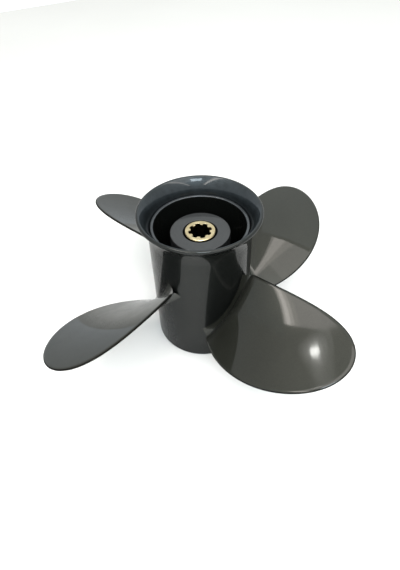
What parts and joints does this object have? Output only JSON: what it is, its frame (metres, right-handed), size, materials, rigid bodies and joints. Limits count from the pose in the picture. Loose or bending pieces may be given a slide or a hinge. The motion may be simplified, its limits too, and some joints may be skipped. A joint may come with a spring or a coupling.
{
  "type": "outboard motor propeller",
  "caption": "Right-hand aluminium outboard motor propeller with skewed blades, a hollow through-hub for the exhaust, a flared aft ring and a splined brass sleeve in a rubber bush.",
  "frame": {"origin": "on the shaft's axis, in the plane of the hub's forward end, which rests on the floor", "axes": "+Z along the shaft's axis, pointing aft, towards the flared ring and the propeller nut; +X through the middle of blade_1's root"},
  "size_m": [0.2316, 0.2316, 0.1062],
  "materials": {
    "grey_paint": "gloss",
    "brass": "satin",
    "black_rubber": "matt"
  },
  "bodies": {
    "root": {"hub_barrel": "grey_paint", "diffuser_ring": "grey_paint", "inner_hub": "grey_paint", "rib_1": "grey_paint", "rib_2": "grey_paint", "rib_3": "grey_paint", "rib_4": "grey_paint", "rubber_bush": "black_rubber", "spline_sleeve": "brass", "blade_1": "grey_paint", "blade_2": "grey_paint", "blade_3": "grey_paint", "blade_4": "grey_paint"}
  },
  "joints": []
}
